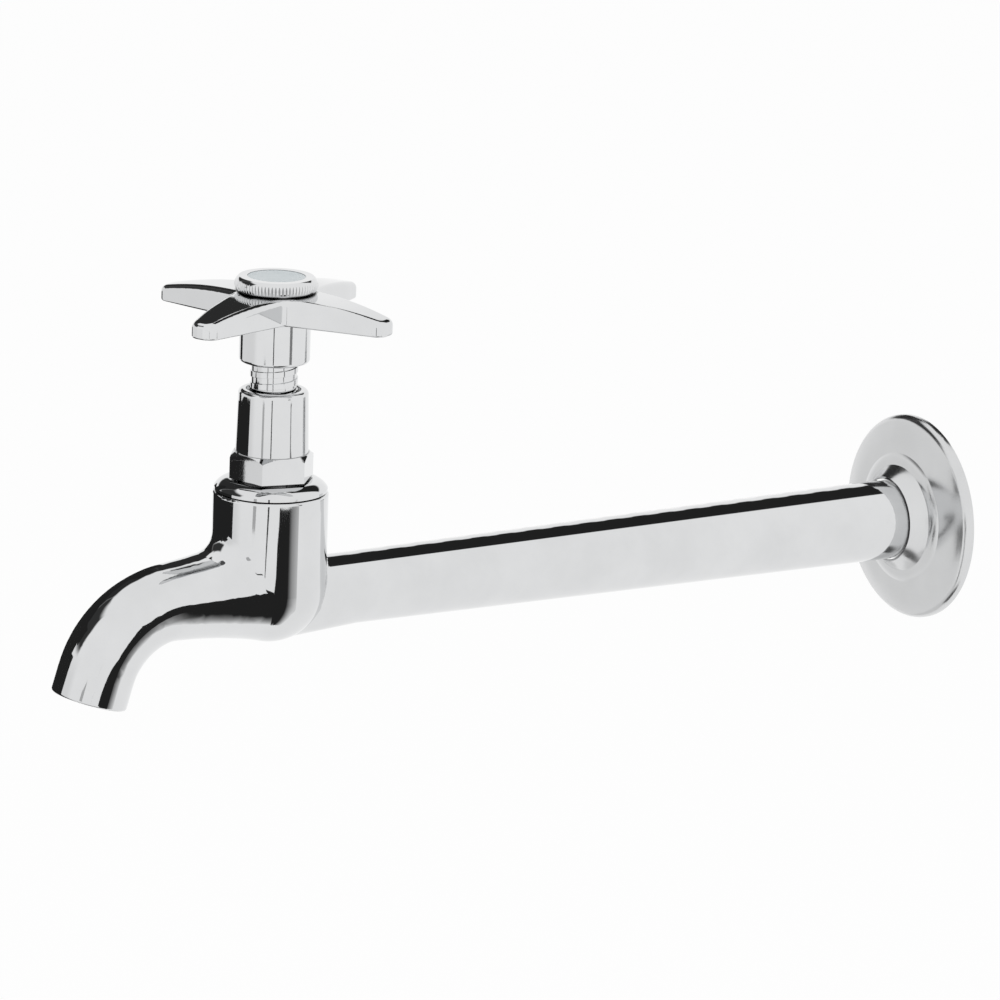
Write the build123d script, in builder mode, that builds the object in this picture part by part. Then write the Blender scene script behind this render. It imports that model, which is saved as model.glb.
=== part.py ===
from build123d import *
import math
import os

os.makedirs("parts", exist_ok=True)

# A wall-mounted sink tap with a rising spindle and a cross handle, in millimetres.
# The origin is the centre of the arm's wall end. +Y goes into the wall, the spout
# points towards -Y and +Z is up. The tap is drawn closed.

# Arm: a hollow casting that thickens towards the wall
reach = 200.0
arm_dia_wall = 21.7
arm_dia_stem = 17.9
inlet_bore = 12.0
inlet_overrun = 0.8
arm_fillet = 1.5
swell_reach = 27.0
swell_drop = 1.9
swell_overlap = 0.05

# Threaded tail, G1/2
tail_length = 13.0
tail_neck = 2.2
tail_shank = 2.0
tail_thread_dia = 20.955
tail_thread_pitch = 1.814
tail_thread_depth = 1.15
tail_thread_mouth = 1.44
tail_thread_floor = 0.3
tail_relief = 1.0
tail_chamfer = 1.2
tail_groove_margin = 1.4

# Valve chamber: an upright cylinder on a round bowl
chamber_dia = 29.0
chamber_top = 28.1
chamber_bore = 22.0
chamber_floor = 8.2
bowl_height = 3.6
rim_round = 0.8

# Valve seat
seat_bore = 11.5
seat_dia = 15.0
seat_height = 1.6

# Spout: a flare off the bowl, a bend and a short straight tip
spout_dia = 19.2
spout_bore = 14.4
spout_fall = 3.0
spout_run = 27.0
spout_bend_radius = 23.3
spout_bend_angle = 70.0
spout_tip = 6.5
spout_fillet = 6.0
flare_reach = 35.4
flare_overlap = 0.15
lip_round = 0.6
waterway_start = 9.0
waterway_end = 30.0
waterway_dia = 11.0
waterway_rise = 4.2

# Wall flange: a pressed plate with a bead and a collar round the arm
flange_dia = 55.4
flange_thickness = 0.7
flange_rim_skirt = 0.6
flange_rim_round = 2.2
flange_rim_turn = 71.0
flange_crown_dia = 35.2
flange_crown_height = 4.3
flange_bead_dia = 28.8
flange_bead_height = 5.25
flange_bead_swell = 0.2
flange_collar_height = 9.3
flange_collar_hollow = 0.22
flange_gap = 0.15

# Bonnet: collar, neck, hexagon and barrel outside, skirt and bores inside
bonnet_thread_dia = 20.955
bonnet_skirt_length = 10.35
bonnet_skirt_bore = 17.0
collar_dia = 28.4
collar_edge = 0.7
collar_height = 2.7
collar_top_dia = 20.4
collar_swell = 0.6
neck_dia = 17.6
neck_height = 0.55
hex_flats = 19.0
hex_height = 6.5
hex_turn = 19.0
hex_chamfer = 1.2
barrel_foot_dia = 18.3
barrel_top_dia = 17.5
barrel_height = 15.9
barrel_round = 1.1
spindle_bore = 13.8
mouth_depth = 1.2
undercut = 1.0

# Gasket between the bonnet's collar and the body
gasket_dia = 24.4
gasket_thickness = 1.75
joint_line = 0.25

# Spindle: socket and nose, piston with two seals, coarse thread, square
lead = 3.0
turns_open = 2.5
spindle_dia = 12.0
thread_depth = 0.3
thread_crest = 1.3
thread_slope = 0.15
piston_dia = 13.6
piston_length = 9.0
nose_dia = 10.0
nose_length = 8.75
thread_runout = 1.3
stop_gap = 0.4
ridge_turns = 2.0
spindle_exposed = 7.0
square_flats = 8.0
square_corner_dia = 10.8
square_length = 7.0
square_gap = 0.3
socket_depth = 9.0
screw_hole_depth = 10.0

# Seals
ring_section = 1.58
ring_groove_width = 2.2
ring_spacing = 4.2

# Jumper with its washer and nut
jumper_stem_dia = 6.0
jumper_stem_length = 8.2
jumper_plate_dia = 16.0
jumper_plate_thickness = 2.2
jumper_lip = 1.2
jumper_tail_dia = 4.0
jumper_tail_length = 7.0
washer_dia = 14.4
washer_thickness = 3.8
nut_flats = 7.0
nut_height = 2.4

# Handle: four tapering arms on a round hub
hub_dia = 17.7
hub_height = 11.1
hub_round = 0.9
handle_height = 6.7
handle_span = 66.4
handle_turn = 27.4
arm_root_width = 15.4
arm_tip_width = 6.6
arm_tip_height = 3.3
arm_tip_corner = 3.0
arm_root_corner = 1.8
arm_crown = 0.8
arm_edge = 1.7
arm_foot_round = 0.6
hub_bore = 12.6
web_thickness = 1.8
recess_dia = 15.8
recess_depth = 3.1

# Screw that holds the handle, with its washer
screw_dia = 5.0
screw_length = 12.0
screw_head_dia = 8.4
screw_head_height = 1.8
screw_slot_width = 1.2
screw_slot_depth = 0.9
screw_washer_dia = 9.8
screw_washer_thickness = 0.8

# Cap: a knurled ring with a plain disc
cap_dia = 20.8
cap_foot_dia = 19.2
cap_top_dia = 18.7
cap_height = 3.75
cap_widest = 1.75
cap_boss_bore = 11.0
cap_boss_length = 2.5
cap_floor = 1.0
knurl_count = 72
knurl_depth = 0.35
knurl_margin = 0.5
knurl_lip = 0.8
disc_dia = 14.4
disc_thickness = 1.9
disc_sink = 0.1

# Clearances, on the radius unless they are along the axis
running = 0.1
thread_clearance = 0.15
sliding = 0.05
hidden_gap = 0.05

stem = Axis((0, -reach, 0), (0, 0, 1))
stem_plane = Plane(origin=(0, -reach, 0), x_dir=(1, 0, 0), z_dir=(0, -1, 0))
side_plane = Plane(origin=(0, 0, 0), x_dir=(0, 1, 0), z_dir=(1, 0, 0))


def level(height, turn=0.0):
    """A level plane on the stem's axis, turned about it by an angle in degrees."""
    return Plane(origin=(0, -reach, height), x_dir=Vector(1, 0, 0).rotate(Axis.Z, turn))


# Heights above the arm's axis, from the body upwards
collar_z = chamber_top + joint_line
gasket_z = collar_z - gasket_thickness
skirt_z = collar_z - bonnet_skirt_length
neck_z = collar_z + collar_height
hex_z = neck_z + neck_height
barrel_z = hex_z + hex_height
barrel_top = barrel_z + barrel_height
hub_z = barrel_top + spindle_exposed
handle_z = hub_z + hub_height
handle_top = handle_z + handle_height
cap_top = handle_top + cap_height

# Heights of the valve, from the seat upwards
seat_z = chamber_floor + seat_height
plate_z = seat_z + washer_thickness
plate_top = plate_z + jumper_plate_thickness
nose_z = plate_top + hidden_gap
piston_z = nose_z + nose_length
piston_top = piston_z + piston_length
lift = lead * turns_open
bore_top = piston_top + lift + stop_gap
skirt_bore_top = plate_top + lift + hidden_gap + running
groove_start = piston_top + thread_runout

# Heights inside the handle, from the screw's web downwards
recess_z = handle_top - recess_depth
web_z = recess_z - web_thickness
square_top = web_z - square_gap
square_z = square_top - square_length
screw_head_z = recess_z + screw_washer_thickness
disc_z = cap_top - disc_sink - disc_thickness

# Radii that several pieces share
bowl_radius = chamber_dia / 2
tail_thread_root = tail_thread_dia / 2 - tail_thread_depth
thread_root = spindle_dia / 2 - thread_depth
ring_radius = (spindle_bore - ring_section) / 2 - hidden_gap
ring_groove_dia = 2 * ring_radius - ring_section - hidden_gap

# The spout's centre line, in the plane of symmetry
fall = math.radians(spout_fall)
bend_start = (-reach - spout_run * math.cos(fall), bowl_height - spout_run * math.sin(fall))
with BuildLine(side_plane) as spout_line:
    Line((-reach, bowl_height), bend_start)
    JernArc(bend_start, (-math.cos(fall), -math.sin(fall)), spout_bend_radius, spout_bend_angle)
spout_path = Wire(spout_line.edges())
bend_end = spout_path.length

# The flare is an arc that runs smoothly off the bowl and into the tube
flare_bowl = bowl_radius - flare_overlap
flare_radius = (spout_dia**2 / 4 + flare_reach**2 - flare_bowl**2) / (2 * flare_bowl - spout_dia)
flare_start = flare_bowl * flare_reach / (flare_radius + flare_bowl)
spout_stations = 12
waterway_stations = 10


def across_spout(distance, rise=0.0):
    """The plane square to the spout's centre line, at a distance from the stem."""
    centre = spout_path.position_at(distance, position_mode=PositionMode.LENGTH)
    along = spout_path.tangent_at(distance, position_mode=PositionMode.LENGTH)
    return Plane(origin=centre + Vector(0, 0, rise), x_dir=(1, 0, 0), z_dir=along)


def spout_radius(distance):
    """The spout's outer radius, at a distance from the stem."""
    left = max(flare_reach - distance, 0)
    return spout_dia / 2 + flare_radius - math.sqrt(flare_radius**2 - left**2)


def waterway_share(distance):
    """Runs smoothly from 1 at the chamber to 0 where the waterway meets the spout's bore."""
    travelled = min((distance - waterway_start) / (waterway_end - waterway_start), 1)
    return (1 + math.cos(math.pi * travelled)) / 2


def helical_tool(coil_plane, coil_pitch, coil_length, coil_radius, outline):
    """A ridge swept along a right-hand helix, from its (outward, along) outline."""
    with BuildPart() as coil:
        with BuildLine() as coil_line:
            Helix(coil_pitch, coil_length, coil_radius, center=coil_plane.origin, direction=coil_plane.z_dir)
        first = coil_line.line @ 0
        outward = first - coil_plane.origin
        with BuildSketch(Plane(origin=first, x_dir=outward, z_dir=coil_line.line % 0)):
            with BuildLine():
                Polyline(*outline, close=True)
            make_face()
        sweep(path=coil_line.line, is_frenet=True)
    return coil.part


# The tail's thread groove, from the middle of the second relief to inside the chamfer
tail_shank_end = tail_neck + tail_shank
tail_groove_start = tail_shank_end + tail_relief / 2
tail_groove = helical_tool(
    Plane(origin=(0, tail_groove_start, 0), z_dir=(0, 1, 0)),
    tail_thread_pitch,
    tail_length - tail_groove_margin - tail_groove_start,
    tail_thread_root,
    [
        (0, -tail_thread_floor / 2),
        (tail_thread_depth + running, -tail_thread_mouth / 2),
        (tail_thread_depth + running, tail_thread_mouth / 2),
        (0, tail_thread_floor / 2),
    ],
)

# The spindle's thread groove, as wide as a whole pitch less the crest
groove_half = (lead - thread_crest) / 2
spindle_groove = helical_tool(
    level(groove_start + lead / 2),
    lead,
    square_z - groove_start - lead,
    thread_root,
    [
        (0, thread_slope - groove_half),
        (thread_depth + running, -groove_half),
        (thread_depth + running, groove_half),
        (0, groove_half - thread_slope),
    ],
)

# The bonnet's thread ridge runs in that groove, clear of its floor and both flanks. It starts
# whole turns above the groove's start, so that the groove still holds all of it when open.
ridge_half = groove_half - thread_clearance
bonnet_ridge = helical_tool(
    level(groove_start + lead / 2 + lead * math.ceil(turns_open)),
    lead,
    ridge_turns * lead,
    thread_root + thread_clearance,
    [
        (0, thread_slope - ridge_half),
        (thread_depth + thread_clearance + running, -ridge_half),
        (thread_depth + thread_clearance + running, ridge_half),
        (0, ridge_half - thread_slope),
    ],
)

# Body: arm, tail, chamber and spout in one casting
with BuildPart() as tap_body:
    with BuildSketch(side_plane):
        with BuildLine():
            Polyline(
                (-reach, 0),
                (-reach, arm_dia_stem / 2),
                (0, arm_dia_wall / 2),
                (0, tail_thread_root),
                (tail_neck, tail_thread_root),
                (tail_neck, tail_thread_dia / 2),
                (tail_shank_end, tail_thread_dia / 2),
                (tail_shank_end, tail_thread_root),
                (tail_shank_end + tail_relief, tail_thread_root),
                (tail_shank_end + tail_relief + tail_thread_depth, tail_thread_dia / 2),
                (tail_length - tail_chamfer, tail_thread_dia / 2),
                (tail_length, tail_thread_dia / 2 - tail_chamfer),
                (tail_length, 0),
                close=True,
            )
        make_face()
    revolve(axis=Axis.Y)
    with BuildSketch(stem_plane):
        with BuildLine():
            Polyline(
                (0, bowl_height - bowl_radius),
                (0, chamber_top),
                (bowl_radius, chamber_top),
                (bowl_radius, bowl_height),
            )
            RadiusArc((bowl_radius, bowl_height), (0, bowl_height - bowl_radius), bowl_radius)
        make_face()
    revolve(axis=stem)
    fillet(tap_body.edges(Select.NEW).sort_by(Axis.Z)[0], radius=arm_fillet)
    with BuildSketch(Plane(origin=(0, swell_reach - reach, 0), z_dir=(0, 1, 0))):
        Circle(arm_dia_stem / 2 + swell_overlap)
    with BuildSketch(Plane(origin=(0, -reach, -swell_drop), z_dir=(0, 1, 0))):
        Circle(arm_dia_stem / 2)
    loft()
    for station in range(spout_stations + 1):
        along = flare_start + (bend_end - flare_start) * station / spout_stations
        with BuildSketch(across_spout(along)):
            Circle(spout_radius(along))
    loft()
    fillet(tap_body.edges(Select.NEW), radius=spout_fillet)
    with BuildSketch(across_spout(bend_end)):
        Circle(spout_dia / 2)
    extrude(amount=spout_tip)
    fillet(tap_body.faces().sort_by(Axis.Z)[0].edges(), radius=lip_round)
    fillet(tap_body.faces().sort_by(Axis.Z)[-1].edges(), radius=rim_round)
    # Inlet bore, from the tail to below the seat
    with BuildSketch(Plane(origin=(0, tail_length, 0), z_dir=(0, -1, 0))):
        Circle(inlet_bore / 2)
    extrude(amount=tail_length + reach + seat_bore / 2 + inlet_overrun, mode=Mode.SUBTRACT)
    # Gasket recess, bonnet thread, chamber and the raised seat
    with BuildSketch(stem_plane):
        with BuildLine():
            Polyline(
                (0, chamber_top),
                (gasket_dia / 2 + running, chamber_top),
                (gasket_dia / 2 + running, gasket_z),
                (bonnet_thread_dia / 2, gasket_z),
                (bonnet_thread_dia / 2, skirt_z - undercut),
                (chamber_bore / 2, skirt_z - undercut),
                (chamber_bore / 2, chamber_floor),
                (seat_dia / 2, chamber_floor),
                (seat_dia / 2, seat_z),
                (seat_bore / 2, seat_z),
                (seat_bore / 2, 0),
                (0, 0),
                close=True,
            )
        make_face()
    revolve(axis=stem, mode=Mode.SUBTRACT)
    # Waterway from the chamber's front down into the spout
    for station in range(waterway_stations + 1):
        along = waterway_start + (bend_end - waterway_start) * station / waterway_stations
        share = waterway_share(along)
        with BuildSketch(across_spout(along, waterway_rise * share)):
            Circle(spout_bore / 2 + (waterway_dia - spout_bore) / 2 * share)
    loft(mode=Mode.SUBTRACT)
    with BuildSketch(across_spout(bend_end)):
        Circle(spout_bore / 2)
    extrude(amount=spout_tip, mode=Mode.SUBTRACT)
    add(tail_groove, mode=Mode.SUBTRACT)

# Wall flange, a shell of even thickness that can slide along the arm
collar_arm_dia = arm_dia_wall + (arm_dia_stem - arm_dia_wall) * flange_collar_height / reach
lip_radius = collar_arm_dia / 2 + flange_gap + flange_thickness
with BuildPart() as wall_flange:
    with BuildSketch(side_plane):
        with BuildLine():
            skirt_end = (-flange_rim_skirt, flange_dia / 2)
            Line((0, flange_dia / 2), skirt_end)
            rim_arc = JernArc(skirt_end, (-1, 0), flange_rim_round, flange_rim_turn)
            crown_end = (-flange_crown_height, flange_crown_dia / 2)
            TangentArc(rim_arc @ 1, crown_end, tangent=rim_arc % 1)
            bead_end = (-flange_bead_height, flange_bead_dia / 2)
            SagittaArc(crown_end, bead_end, -flange_bead_swell)
            SagittaArc(bead_end, (-flange_collar_height, lip_radius), flange_collar_hollow)
            offset(amount=flange_thickness, side=Side.LEFT)
        make_face()
    revolve(axis=Axis.Y)

# Bonnet: the hexagon is turned down at both ends, then collar, barrel and bores
flat_corner = hex_flats / math.sqrt(3)
with BuildPart() as bonnet:
    with BuildSketch(level(neck_z, hex_turn)):
        RegularPolygon(hex_flats / 2, 6, major_radius=False)
    extrude(amount=neck_height + hex_height)
    with BuildSketch(stem_plane):
        with BuildLine():
            Polyline(
                (0, neck_z),
                (neck_dia / 2, neck_z),
                (neck_dia / 2, hex_z),
                (flat_corner, hex_z),
                (flat_corner, barrel_z - hex_chamfer),
                (hex_flats / 2, barrel_z),
                (0, barrel_z),
                close=True,
            )
        make_face()
    revolve(axis=stem, mode=Mode.INTERSECT)
    with BuildSketch(stem_plane):
        with BuildLine():
            Polyline(
                (collar_top_dia / 2, neck_z),
                (0, neck_z),
                (0, skirt_z),
                (bonnet_thread_dia / 2 - sliding, skirt_z),
                (bonnet_thread_dia / 2 - sliding, collar_z),
                (collar_dia / 2, collar_z),
                (collar_dia / 2, collar_z + collar_edge),
            )
            SagittaArc((collar_dia / 2, collar_z + collar_edge), (collar_top_dia / 2, neck_z), -collar_swell)
        make_face()
    revolve(axis=stem)
    with BuildSketch(level(barrel_z)):
        Circle(barrel_foot_dia / 2)
    with BuildSketch(level(barrel_top)):
        Circle(barrel_top_dia / 2)
    loft()
    fillet(bonnet.faces().sort_by(Axis.Z)[-1].edges(), radius=barrel_round)
    with BuildSketch(stem_plane):
        with BuildLine():
            Polyline(
                (0, barrel_top),
                (spindle_bore / 2, barrel_top),
                (spindle_bore / 2, barrel_top - mouth_depth),
                (spindle_dia / 2 + thread_clearance, barrel_top - mouth_depth),
                (spindle_dia / 2 + thread_clearance, bore_top),
                (spindle_bore / 2, bore_top),
                (spindle_bore / 2, skirt_bore_top),
                (bonnet_skirt_bore / 2, skirt_bore_top),
                (bonnet_skirt_bore / 2, skirt_z),
                (0, skirt_z),
                close=True,
            )
        make_face()
    revolve(axis=stem, mode=Mode.SUBTRACT)
    add(bonnet_ridge)

with BuildPart() as bonnet_gasket:
    with BuildSketch(level(gasket_z)):
        Circle(gasket_dia / 2)
        Circle(bonnet_thread_dia / 2, mode=Mode.SUBTRACT)
    extrude(amount=gasket_thickness)

# Spindle
ring_heights = {
    "lower_o_ring": piston_z + (piston_length - ring_spacing) / 2,
    "upper_o_ring": piston_z + (piston_length + ring_spacing) / 2,
}
with BuildPart() as spindle:
    with BuildSketch(stem_plane):
        with BuildLine():
            Polyline(
                (jumper_stem_dia / 2 + running, nose_z),
                (nose_dia / 2, nose_z),
                (nose_dia / 2, piston_z),
                (piston_dia / 2, piston_z),
                (piston_dia / 2, piston_top),
                (spindle_dia / 2, piston_top),
                (spindle_dia / 2, square_z),
                (0, square_z),
                (0, nose_z + socket_depth),
                (jumper_stem_dia / 2 + running, nose_z + socket_depth),
                close=True,
            )
        make_face()
    revolve(axis=stem)
    for ring_z in ring_heights.values():
        with BuildSketch(level(ring_z - ring_groove_width / 2)):
            Circle(piston_dia / 2 + running)
            Circle(ring_groove_dia / 2, mode=Mode.SUBTRACT)
        extrude(amount=ring_groove_width, mode=Mode.SUBTRACT)
    add(spindle_groove, mode=Mode.SUBTRACT)
    with BuildSketch(level(square_z, handle_turn)):
        Rectangle(square_flats, square_flats)
        Circle(square_corner_dia / 2, mode=Mode.INTERSECT)
    extrude(amount=square_length)
    with BuildSketch(level(square_top)):
        Circle(screw_dia / 2)
    extrude(amount=-screw_hole_depth, mode=Mode.SUBTRACT)

# Both seals on the spindle's piston
for ring_name, ring_z in ring_heights.items():
    with BuildPart() as o_ring:
        with BuildSketch(stem_plane):
            with Locations((ring_radius, ring_z)):
                Circle(ring_section / 2)
        revolve(axis=stem)
    o_ring.part.label = ring_name
    export_step(o_ring.part, f"parts/{ring_name}.step")

# Jumper: the stem in the spindle's socket, the cupped plate and the tail for the nut
with BuildPart() as jumper:
    with BuildSketch(stem_plane):
        with BuildLine():
            Polyline(
                (0, plate_z - jumper_tail_length),
                (jumper_tail_dia / 2, plate_z - jumper_tail_length),
                (jumper_tail_dia / 2, plate_z),
                (washer_dia / 2 + sliding, plate_z),
                (washer_dia / 2 + sliding, plate_z - jumper_lip),
                (jumper_plate_dia / 2, plate_z - jumper_lip),
                (jumper_plate_dia / 2, plate_top),
                (jumper_stem_dia / 2, plate_top),
                (jumper_stem_dia / 2, plate_top + jumper_stem_length),
                (0, plate_top + jumper_stem_length),
                close=True,
            )
        make_face()
    revolve(axis=stem)

with BuildPart() as jumper_washer:
    with BuildSketch(level(seat_z)):
        Circle(washer_dia / 2)
        Circle(jumper_tail_dia / 2 + sliding, mode=Mode.SUBTRACT)
    extrude(amount=washer_thickness)

with BuildPart() as jumper_nut:
    with BuildSketch(level(seat_z)):
        RegularPolygon(nut_flats / 2, 6, major_radius=False)
        Circle(jumper_tail_dia / 2 + sliding, mode=Mode.SUBTRACT)
    extrude(amount=-nut_height)

# Handle
half_root = arm_root_width / 2
half_tip = arm_tip_width / 2
tip_radius = handle_span / 2
half_span = (math.hypot(half_root, half_root) + tip_radius) / 2
arm_tip_edge = (tip_radius + arm_edge, handle_z + arm_tip_height)
cross_points = []
for quarter in range(4):
    for across in ((half_root, -half_root), (tip_radius, -half_tip), (tip_radius, half_tip)):
        cross_points.append(Vector(*across).rotate(Axis.Z, 90 * quarter))
with BuildPart() as handle:
    with BuildSketch(level(handle_z, handle_turn)) as cross:
        with BuildLine():
            Polyline(*cross_points, close=True)
        make_face()
        tip_corners = cross.vertices().filter_by(lambda corner: math.hypot(corner.X, corner.Y) > half_span)
        fillet(tip_corners, radius=arm_tip_corner)
        root_corners = cross.vertices().filter_by(lambda corner: math.hypot(corner.X, corner.Y) < half_span)
        fillet(root_corners, radius=arm_root_corner)
    extrude(amount=handle_height)
    with BuildSketch(stem_plane):
        with BuildLine():
            Polyline(
                (cap_foot_dia / 2, handle_top),
                (0, handle_top),
                (0, handle_z),
                (tip_radius + arm_edge, handle_z),
                arm_tip_edge,
            )
            SagittaArc((cap_foot_dia / 2, handle_top), arm_tip_edge, arm_crown)
        make_face()
    revolve(axis=stem, mode=Mode.INTERSECT)
    arm_tops = handle.edges().filter_by(lambda edge: edge.bounding_box().min.Z > handle_z + arm_edge)
    arm_outline = arm_tops.filter_by(lambda edge: edge.bounding_box().max.Z < handle_top - hidden_gap)
    fillet(arm_outline, radius=arm_edge)
    fillet(handle.faces().sort_by(Axis.Z)[0].edges(), radius=arm_foot_round)
    with BuildSketch(level(hub_z)):
        Circle(hub_dia / 2)
    extrude(amount=hub_height)
    fillet(handle.faces().sort_by(Axis.Z)[0].edges(), radius=hub_round)
    with BuildSketch(level(hub_z)):
        Circle(hub_bore / 2)
    extrude(amount=square_z - hub_z, mode=Mode.SUBTRACT)
    with BuildSketch(level(square_z, handle_turn)):
        Rectangle(square_flats + 2 * sliding, square_flats + 2 * sliding)
    extrude(amount=square_length + square_gap, mode=Mode.SUBTRACT)
    with BuildSketch(level(web_z)):
        Circle(screw_dia / 2 + running)
    extrude(amount=web_thickness, mode=Mode.SUBTRACT)
    with BuildSketch(level(recess_z)):
        Circle(recess_dia / 2)
    extrude(amount=recess_depth, mode=Mode.SUBTRACT)

with BuildPart() as screw_washer:
    with BuildSketch(level(recess_z)):
        Circle(screw_washer_dia / 2)
        Circle(screw_dia / 2 + running, mode=Mode.SUBTRACT)
    extrude(amount=screw_washer_thickness)

with BuildPart() as handle_screw:
    with BuildSketch(level(screw_head_z)):
        Circle(screw_dia / 2 - sliding)
    extrude(amount=-screw_length)
    with BuildSketch(level(screw_head_z)):
        Circle(screw_head_dia / 2)
    extrude(amount=screw_head_height)
    with BuildSketch(level(screw_head_z + screw_head_height)):
        Rectangle(screw_head_dia, screw_slot_width)
    extrude(amount=-screw_slot_depth, mode=Mode.SUBTRACT)

# Cap ring: a convex knurled band round the disc's pocket, with a boss in the handle
with BuildPart() as cap_ring:
    with BuildSketch(stem_plane):
        with BuildLine():
            Polyline(
                (cap_top_dia / 2, cap_top),
                (disc_dia / 2 + sliding, cap_top),
                (disc_dia / 2 + sliding, disc_z),
                (0, disc_z),
                (0, disc_z - cap_floor),
                (cap_boss_bore / 2, disc_z - cap_floor),
                (cap_boss_bore / 2, handle_top - cap_boss_length),
                (recess_dia / 2 - sliding, handle_top - cap_boss_length),
                (recess_dia / 2 - sliding, handle_top),
                (cap_foot_dia / 2, handle_top),
            )
            ThreePointArc(
                (cap_foot_dia / 2, handle_top),
                (cap_dia / 2, handle_top + cap_widest),
                (cap_top_dia / 2, cap_top),
            )
        make_face()
    revolve(axis=stem)
    with BuildSketch(level(handle_top + knurl_margin)):
        with PolarLocations(cap_dia / 2, knurl_count):
            Rectangle(math.sqrt(2) * knurl_depth, math.sqrt(2) * knurl_depth, rotation=45)
    extrude(amount=cap_height - knurl_margin - knurl_lip, mode=Mode.SUBTRACT)

with BuildPart() as index_disc:
    with BuildSketch(level(disc_z)):
        Circle(disc_dia / 2)
    extrude(amount=disc_thickness)

pieces = {
    "tap_body": tap_body,
    "wall_flange": wall_flange,
    "bonnet": bonnet,
    "bonnet_gasket": bonnet_gasket,
    "spindle": spindle,
    "jumper": jumper,
    "jumper_washer": jumper_washer,
    "jumper_nut": jumper_nut,
    "handle": handle,
    "screw_washer": screw_washer,
    "handle_screw": handle_screw,
    "cap_ring": cap_ring,
    "index_disc": index_disc,
}
for name, piece in pieces.items():
    piece.part.label = name
    export_step(piece.part, f"parts/{name}.step")
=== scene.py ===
import math

import bpy
from mathutils import Matrix, Vector

# A chromed sink tap, in metres. The origin is the centre of the arm's wall end, +Y goes into the
# wall, the spout points towards -Y and +Z is up.

# Camera, with its angles in degrees
CAMERA_PLACE = (1.0525, -0.7939, 0.3439)
CAMERA_AZIMUTH = 57.85
CAMERA_ELEVATION = 14.68
CAMERA_ROLL = 2.26
CAMERA_LENS = 180.04
CAMERA_SENSOR = 36.0

# Lamp
LAMP_PLACE = (0.9, -0.9, 1.5)
LAMP_TARGET = (0, -0.1, 0)
LAMP_SIZE = 1.2
LAMP_ENERGY = 16.0

# Room and floor: the room's grey on dull surfaces, its white in reflections and behind the tap
ROOM_GREY = 0.8
ROOM_WHITE = 1.0
FLOOR_HEIGHT = -0.42
FLOOR_SIZE = 12.0
FLOOR_GREY = 0.95
FLOOR_ROUGHNESS = 0.9
FLOOR_GLOW_SHARE = 0.95

# Depth of every surface's grain
GRAIN_DEPTH = 0.0001

# Metals: stops of their tint and polish, stops and grey of the shade painted into their creases, and how
# far that painted shade reaches
METAL_TINT_STOPS = (0.35, 0.65)
METAL_POLISH_STOPS = (0.3, 0.75)
METAL_CLOUD_DETAIL = 4.0
METAL_CLOUD_ROUGHNESS = 0.55
METAL_GRAIN_FINENESS = 30
METAL_GRAIN_DETAIL = 3.0
METAL_GRAIN_ROUGHNESS = 0.6
PAINTED_SHADE_REACH = 0.001
PAINTED_SHADE_STOPS = (0.3, 0.75)
PAINTED_SHADE_GREY = 0.06

# Dull surfaces
MATTE_TINT_STOPS = (0.3, 0.7)
MATTE_CLOUD_DETAIL = 5.0
MATTE_CLOUD_ROUGHNESS = 0.6
MATTE_GRAIN_FINENESS = 6
MATTE_GRAIN_DETAIL = 2.0
MATTE_GRAIN_ROUGHNESS = 0.5

# The arm is a plain cone round the Y axis: its radius at the wall, its slope, how far off the
# cone a face's corner may lie, and how far the face's normal may lean along Y
ARM_WALL_RADIUS = 0.01085
ARM_TAPER = 0.0095
ARM_MARGIN = 0.00002
ARM_LEAN = 0.7

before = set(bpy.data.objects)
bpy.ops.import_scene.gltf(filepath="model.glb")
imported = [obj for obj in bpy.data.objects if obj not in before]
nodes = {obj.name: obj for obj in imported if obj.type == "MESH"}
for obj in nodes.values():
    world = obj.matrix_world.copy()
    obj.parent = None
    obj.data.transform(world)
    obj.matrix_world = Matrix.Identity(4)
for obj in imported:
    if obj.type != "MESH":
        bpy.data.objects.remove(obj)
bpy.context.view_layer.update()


def grey(value):
    """A neutral colour."""
    return (value, value, value, 1.0)


def new_material(name):
    """An empty node material and its node tree."""
    material = bpy.data.materials.new(name)
    material.use_nodes = True
    return material, material.node_tree


def object_noise(tree, scale, detail, roughness):
    """Noise that is fixed to the object's own space."""
    place = tree.nodes.new("ShaderNodeTexCoord")
    noise = tree.nodes.new("ShaderNodeTexNoise")
    noise.inputs["Scale"].default_value = scale
    noise.inputs["Detail"].default_value = detail
    noise.inputs["Roughness"].default_value = roughness
    tree.links.new(place.outputs["Object"], noise.inputs["Vector"])
    return noise.outputs["Fac"]


def ramp(tree, source, positions, colours):
    """A two-stop colour ramp over a grey value."""
    stops = tree.nodes.new("ShaderNodeValToRGB")
    for element, position, colour in zip(stops.color_ramp.elements, positions, colours):
        element.position = position
        element.color = colour
    tree.links.new(source, stops.inputs["Fac"])
    return stops.outputs["Color"]


def bump(tree, shader, height, strength):
    """A fine grain on a shader."""
    relief = tree.nodes.new("ShaderNodeBump")
    relief.inputs["Strength"].default_value = strength
    relief.inputs["Distance"].default_value = GRAIN_DEPTH
    tree.links.new(height, relief.inputs["Height"])
    tree.links.new(relief.outputs["Normal"], shader.inputs["Normal"])


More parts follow.
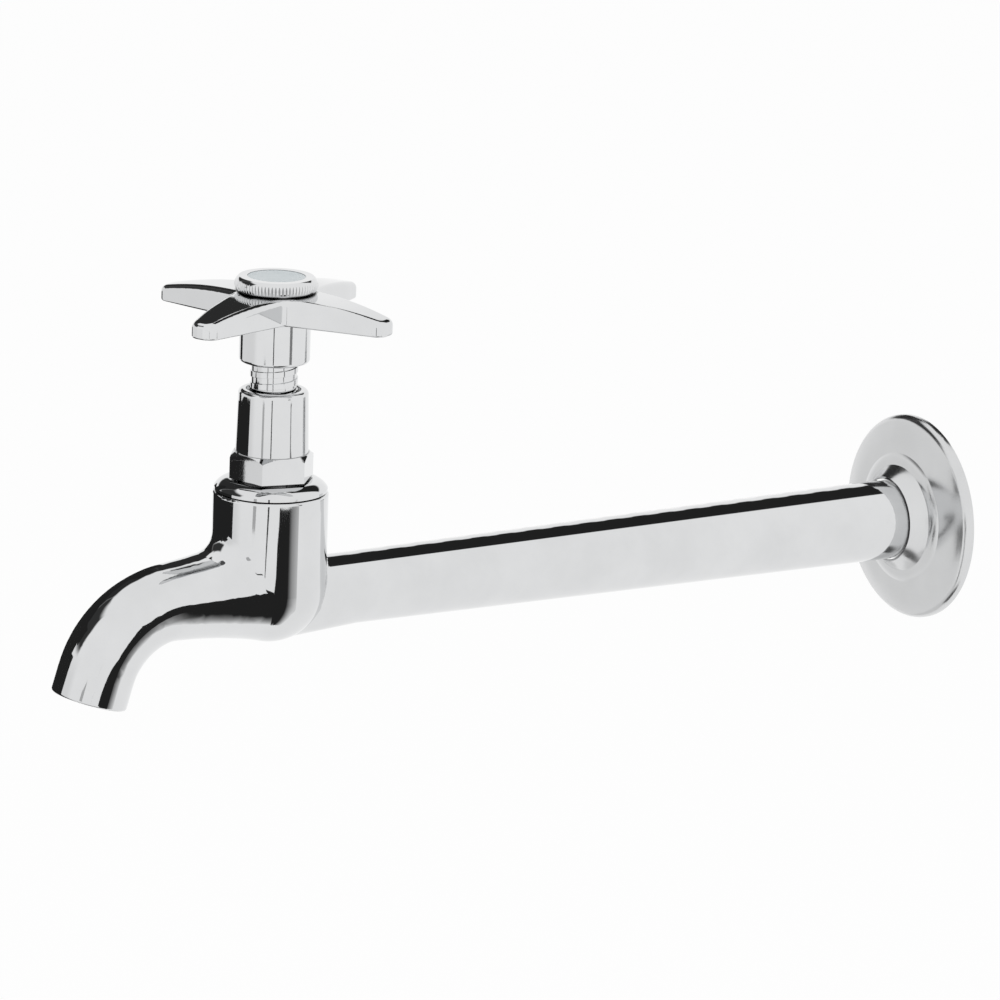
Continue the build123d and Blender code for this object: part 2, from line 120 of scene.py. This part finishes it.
def metal(name, dark, light, smooth, worn, noise_scale, relief):
    """A metal whose colour and polish vary a little over its surface, with shade painted into its creases.
    """
    material, tree = new_material(name)
    shader = tree.nodes["Principled BSDF"]
    shader.inputs["Metallic"].default_value = 1.0
    cloud = object_noise(tree, noise_scale, METAL_CLOUD_DETAIL, METAL_CLOUD_ROUGHNESS)
    tint = ramp(tree, cloud, METAL_TINT_STOPS, (dark, light))
    # Painted shade: the base colour is darkened by ambient occlusion in creases, grooves and gaps between
    # parts
    occlusion = tree.nodes.new("ShaderNodeAmbientOcclusion")
    occlusion.inputs["Distance"].default_value = PAINTED_SHADE_REACH
    painted_crease_shade = ramp(tree, occlusion.outputs["AO"], PAINTED_SHADE_STOPS, (grey(PAINTED_SHADE_GREY), grey(1.0)))
    shaded = tree.nodes.new("ShaderNodeVectorMath")
    shaded.operation = "MULTIPLY"
    tree.links.new(tint, shaded.inputs[0])
    tree.links.new(painted_crease_shade, shaded.inputs[1])
    tree.links.new(shaded.outputs["Vector"], shader.inputs["Base Color"])
    polish = ramp(tree, cloud, METAL_POLISH_STOPS, (grey(smooth), grey(worn)))
    tree.links.new(polish, shader.inputs["Roughness"])
    grain_scale = noise_scale * METAL_GRAIN_FINENESS
    grain = object_noise(tree, grain_scale, METAL_GRAIN_DETAIL, METAL_GRAIN_ROUGHNESS)
    bump(tree, shader, grain, relief)
    return material


def matte(name, dark, light, rough, noise_scale, relief):
    """A dull moulded or pressed surface with a fine grain."""
    material, tree = new_material(name)
    shader = tree.nodes["Principled BSDF"]
    cloud = object_noise(tree, noise_scale, MATTE_CLOUD_DETAIL, MATTE_CLOUD_ROUGHNESS)
    tree.links.new(ramp(tree, cloud, MATTE_TINT_STOPS, (dark, light)), shader.inputs["Base Color"])
    shader.inputs["Roughness"].default_value = rough
    grain_scale = noise_scale * MATTE_GRAIN_FINENESS
    grain = object_noise(tree, grain_scale, MATTE_GRAIN_DETAIL, MATTE_GRAIN_ROUGHNESS)
    bump(tree, shader, grain, relief)
    return material


chrome = metal(
    "chrome",
    dark=(0.68, 0.686, 0.692, 1.0),
    light=(0.72, 0.726, 0.732, 1.0),
    smooth=0.03,
    worn=0.055,
    noise_scale=60.0,
    relief=0.01,
)
pressed_chrome = metal(
    "pressed_chrome",
    dark=(0.65, 0.655, 0.66, 1.0),
    light=(0.69, 0.695, 0.7, 1.0),
    smooth=0.16,
    worn=0.21,
    noise_scale=60.0,
    relief=0.01,
)
brass = metal(
    "brass",
    dark=(0.6, 0.43, 0.2, 1.0),
    light=(0.75, 0.57, 0.3, 1.0),
    smooth=0.22,
    worn=0.38,
    noise_scale=180.0,
    relief=0.15,
)
steel = metal(
    "steel",
    dark=(0.55, 0.56, 0.57, 1.0),
    light=(0.66, 0.67, 0.68, 1.0),
    smooth=0.25,
    worn=0.4,
    noise_scale=200.0,
    relief=0.12,
)
rubber = matte(
    "rubber",
    dark=(0.018, 0.018, 0.02, 1.0),
    light=(0.04, 0.04, 0.043, 1.0),
    rough=0.6,
    noise_scale=500.0,
    relief=0.2,
)
fibre = matte(
    "fibre",
    dark=(0.28, 0.1, 0.06, 1.0),
    light=(0.42, 0.18, 0.11, 1.0),
    rough=0.75,
    noise_scale=900.0,
    relief=0.4,
)
enamel = matte(
    "enamel",
    dark=(0.42, 0.48, 0.5, 1.0),
    light=(0.5, 0.55, 0.57, 1.0),
    rough=0.22,
    noise_scale=250.0,
    relief=0.03,
)

materials = {
    chrome: ("tap_body", "bonnet", "spindle", "handle", "cap_ring"),
    pressed_chrome: ("wall_flange",),
    brass: ("jumper", "jumper_nut", "handle_screw"),
    steel: ("screw_washer",),
    rubber: ("lower_o_ring", "upper_o_ring", "jumper_washer"),
    fibre: ("bonnet_gasket",),
    enamel: ("index_disc",),
}
for material, names in materials.items():
    for name in names:
        nodes[name].data.materials.clear()
        nodes[name].data.materials.append(material)


def cone_normals(mesh):
    """Gives the arm's cone its exact normals, so that reflections run straight along it."""
    normals = [corner.vector.copy() for corner in mesh.corner_normals]
    for polygon in mesh.polygons:
        points = [mesh.vertices[index].co for index in polygon.vertices]
        radii = [math.hypot(point.x, point.z) for point in points]
        cone_radii = [ARM_WALL_RADIUS + ARM_TAPER * point.y for point in points]
        furthest = max(abs(radius - cone_radius) for radius, cone_radius in zip(radii, cone_radii))
        if furthest > ARM_MARGIN or abs(polygon.normal.y) > ARM_LEAN:
            continue
        for loop, point, radius in zip(polygon.loop_indices, points, radii):
            normals[loop] = Vector((point.x, -ARM_TAPER * radius, point.z)).normalized()
    mesh.normals_split_custom_set(normals)


cone_normals(nodes["tap_body"].data)

# World: white behind the object, a pale room with dark patches in its reflections
world = bpy.data.worlds.new("studio")
bpy.context.scene.world = world
world.use_nodes = True
sky = world.node_tree
sky.nodes.clear()


def sky_math(operation, first, second=0.0, third=0.0):
    """One math node of the world, fed with sockets or numbers."""
    node = sky.nodes.new("ShaderNodeMath")
    node.operation = operation
    for socket, value in zip(node.inputs, (first, second, third)):
        if isinstance(value, (int, float)):
            socket.default_value = value
        else:
            sky.links.new(value, socket)
    return node.outputs[0]


def sky_step(value, start, end):
    """Rises smoothly from 0 at start to 1 at end."""
    node = sky.nodes.new("ShaderNodeMapRange")
    node.interpolation_type = "SMOOTHSTEP"
    sky.links.new(value, node.inputs["Value"])
    node.inputs["From Min"].default_value = start
    node.inputs["From Max"].default_value = end
    return node.outputs["Result"]


def sky_mix(share, first, second):
    """Goes from the first value to the second as the share goes from 0 to 1."""
    return sky_math("MULTIPLY_ADD", share, sky_math("SUBTRACT", second, first), first)


direction = sky.nodes.new("ShaderNodeTexCoord").outputs["Generated"]
parts = sky.nodes.new("ShaderNodeSeparateXYZ")
sky.links.new(direction, parts.inputs[0])
azimuth = sky_math("ARCTAN2", parts.outputs["Y"], parts.outputs["X"])
elevation = sky_math("ARCSINE", parts.outputs["Z"])


def sky_patch(middle, half_width, bottom, top, soft):
    """1 inside a patch of the sky and 0 outside, from angles in degrees."""
    turned = sky_math("WRAP", sky_math("SUBTRACT", azimuth, math.radians(middle)), math.pi, -math.pi)
    half = math.radians(half_width)
    low = math.radians(bottom)
    high = math.radians(top)
    edge = math.radians(soft)
    across = sky_step(sky_math("ABSOLUTE", turned), half + edge, half - edge)
    above = sky_step(elevation, low - edge, low + edge)
    below = sky_step(elevation, high + edge, high - edge)
    return sky_math("MULTIPLY", across, sky_math("MULTIPLY", above, below))


# Patches of the room, from the +X axis: middle, half width, bottom, top and soft edge in degrees,
# and the shade
SKY_PATCHES = {
    "front wall": (230.0, 35.0, -40.0, 14.0, 10.0, 0.87),
    "front floor": (240.0, 60.0, -80.0, -45.0, 8.0, 0.78),
    "floor below": (310.0, 60.0, -100.0, -66.0, 6.0, 0.12),
    "high card behind": (124.0, 24.0, 27.0, 66.0, 2.0, 0.02),
    "high card in front": (226.0, 26.0, 21.0, 50.0, 4.0, 0.04),
    "high card on the left": (180.0, 21.0, 16.0, 50.0, 2.0, 0.03),
    "narrow card on the left": (156.0, 4.5, 15.5, 50.0, 0.8, 0.03),
}
rays = sky.nodes.new("ShaderNodeLightPath").outputs
room = sky_mix(rays["Is Glossy Ray"], ROOM_GREY, ROOM_WHITE)
for *patch, shade in SKY_PATCHES.values():
    room = sky_mix(sky_patch(*patch), room, shade)
seen_directly = sky_math("MAXIMUM", rays["Is Camera Ray"], rays["Is Transmission Ray"])
background = sky.nodes.new("ShaderNodeBackground")
sky.links.new(sky_mix(seen_directly, room, ROOM_WHITE), background.inputs["Color"])
sky_out = sky.nodes.new("ShaderNodeOutputWorld")
sky.links.new(background.outputs[0], sky_out.inputs["Surface"])

# Floor, far below a tap that hangs on a wall
bpy.ops.mesh.primitive_plane_add(size=FLOOR_SIZE, location=(0, 0, FLOOR_HEIGHT))
floor = bpy.context.object
floor.name = "floor"
floor_paint, floor_tree = new_material("floor")
floor_shader = floor_tree.nodes["Principled BSDF"]
floor_shader.inputs["Base Color"].default_value = grey(FLOOR_GREY)
floor_shader.inputs["Roughness"].default_value = FLOOR_ROUGHNESS
floor_glow = floor_tree.nodes.new("ShaderNodeEmission")
floor_glow.inputs["Color"].default_value = grey(1.0)
floor_mix = floor_tree.nodes.new("ShaderNodeMixShader")
floor_rays = floor_tree.nodes.new("ShaderNodeLightPath")
floor_share = floor_tree.nodes.new("ShaderNodeMath")
floor_share.operation = "MULTIPLY"
floor_share.inputs[1].default_value = FLOOR_GLOW_SHARE
floor_tree.links.new(floor_rays.outputs["Is Camera Ray"], floor_share.inputs[0])
floor_tree.links.new(floor_share.outputs[0], floor_mix.inputs["Fac"])
floor_tree.links.new(floor_shader.outputs[0], floor_mix.inputs[1])
floor_tree.links.new(floor_glow.outputs[0], floor_mix.inputs[2])
floor_tree.links.new(floor_mix.outputs[0], floor_tree.nodes["Material Output"].inputs["Surface"])
floor.data.materials.append(floor_paint)
floor.visible_glossy = False


def upright(start, end, bottom, top):
    """The corners of an upright card, from its line on the plan and its heights."""
    return [(*start, bottom), (*end, bottom), (*end, top), (*start, top)]


# Front card beside the spout and the chamber: its outline as (y, z), its shade at the far end,
# and the share of its length where the shade begins and ends to change
FRONT_CARD_X = 0.1
FRONT_CARD = [
    (-0.258, -0.3),
    (-0.257, -0.045),
    (-0.255, -0.03),
    (-0.243, -0.024),
    (-0.232, -0.0205),
    (-0.2262, -0.0148),
    (-0.2226, -0.0065),
    (-0.221, 0.004),
    (-0.16, 0.004),
    (-0.15, -0.01),
    (-0.15, -0.3),
]
FRONT_CARD_FAR_SHADE = 0.8
FADE_STOPS = (0.65, 0.95)

# Cards on the left of the tap: the corner where they meet, and the heights where they begin and end
LEFT_CORNER = (-0.048, -0.285)
LEFT_FOOT = -0.09
LEFT_TOP = 0.0385
END_LOW_TOP = 0.005
END_MIDDLE_TOP = 0.014
END_TOP = 0.034

# Shades of the cards and strips
CARD_SHADE = 0.02
STRIP_SHADE = 0.05
STEM_STRIP_SHADE = 0.25
SIDE_STRIP_SHADE = 0.5

# Cards close to the tap, seen only in its chrome: their corners and shades
CARDS = {
    "front_card": ([(FRONT_CARD_X, *point) for point in FRONT_CARD], CARD_SHADE, FRONT_CARD_FAR_SHADE),
    "left_card": (upright((-0.058, -0.206), LEFT_CORNER, LEFT_FOOT, LEFT_TOP), CARD_SHADE),
    "left_high_card": (upright((-0.0565, -0.217), (-0.0547, -0.232), LEFT_TOP, 0.068), CARD_SHADE),
    "end_low_card": (upright(LEFT_CORNER, (-0.022, -0.297), LEFT_FOOT, END_LOW_TOP), CARD_SHADE),
    "end_middle_card": (upright(LEFT_CORNER, (-0.0324, -0.2922), END_LOW_TOP, END_MIDDLE_TOP), CARD_SHADE),
    "end_high_card": (upright(LEFT_CORNER, (-0.0265, -0.295), END_MIDDLE_TOP, END_TOP), CARD_SHADE),
    "left_strip": (upright((-0.303, -0.24), (-0.481, -0.379), -0.045, 0.03), STRIP_SHADE),
    "near_strip": (upright((0.208, -0.339), (0.3, -0.379), -0.064, 0.02), STRIP_SHADE),
    "barrel_strip": (upright((0.0604, -0.1681), (0.0576, -0.1639), 0.018, 0.04), STEM_STRIP_SHADE),
    "hub_strip": (upright((0.0599, -0.1823), (0.0581, -0.1777), 0.043, 0.06), STEM_STRIP_SHADE),
    "side_strip": (upright((0.12, -0.43), (0.143, -0.414), -0.045, 0.004), SIDE_STRIP_SHADE),
}
for name, (corners, *shades) in CARDS.items():
    paint, paint_tree = new_material(name)
    paint_glow = paint_tree.nodes.new("ShaderNodeEmission")
    place = paint_tree.nodes.new("ShaderNodeTexCoord")
    along = paint_tree.nodes.new("ShaderNodeSeparateXYZ")
    paint_tree.links.new(place.outputs["Generated"], along.inputs[0])
    fade = ramp(paint_tree, along.outputs["Y"], FADE_STOPS, (grey(shades[0]), grey(shades[-1])))
    paint_tree.links.new(fade, paint_glow.inputs["Color"])
    paint_tree.links.new(paint_glow.outputs[0], paint_tree.nodes["Material Output"].inputs["Surface"])
    card_mesh = bpy.data.meshes.new(name)
    card_mesh.from_pydata(corners, [], [range(len(corners))])
    card_mesh.materials.append(paint)
    card = bpy.data.objects.new(name, card_mesh)
    bpy.context.scene.collection.objects.link(card)
    card.visible_camera = False
    card.visible_shadow = False
    card.visible_diffuse = False

# Soft lamp above
lamp_data = bpy.data.lights.new("softbox", "AREA")
lamp_data.shape = "DISK"
lamp_data.size = LAMP_SIZE
lamp_data.energy = LAMP_ENERGY
lamp = bpy.data.objects.new("softbox", lamp_data)
lamp.location = LAMP_PLACE
lamp.rotation_euler = (Vector(LAMP_TARGET) - lamp.location).to_track_quat("-Z", "Y").to_euler()
lamp.visible_glossy = False
bpy.context.scene.collection.objects.link(lamp)

# Camera at the photograph's angle
turn = math.radians(CAMERA_AZIMUTH)
rise = math.radians(CAMERA_ELEVATION)
level_right = Vector((math.cos(turn), math.sin(turn), 0))
looking = Vector((-math.sin(turn) * math.cos(rise), math.cos(turn) * math.cos(rise), -math.sin(rise)))
camera_up = Matrix.Rotation(math.radians(CAMERA_ROLL), 3, -looking) @ level_right.cross(looking)
camera_data = bpy.data.cameras.new("camera")
camera_data.lens = CAMERA_LENS
camera_data.sensor_width = CAMERA_SENSOR
camera = bpy.data.objects.new("camera", camera_data)
axes = Matrix((looking.cross(camera_up), camera_up, -looking)).transposed()
camera.matrix_world = Matrix.Translation(CAMERA_PLACE) @ axes.to_4x4()
bpy.context.scene.collection.objects.link(camera)
bpy.context.scene.camera = camera
bpy.context.scene.view_settings.view_transform = "Standard"
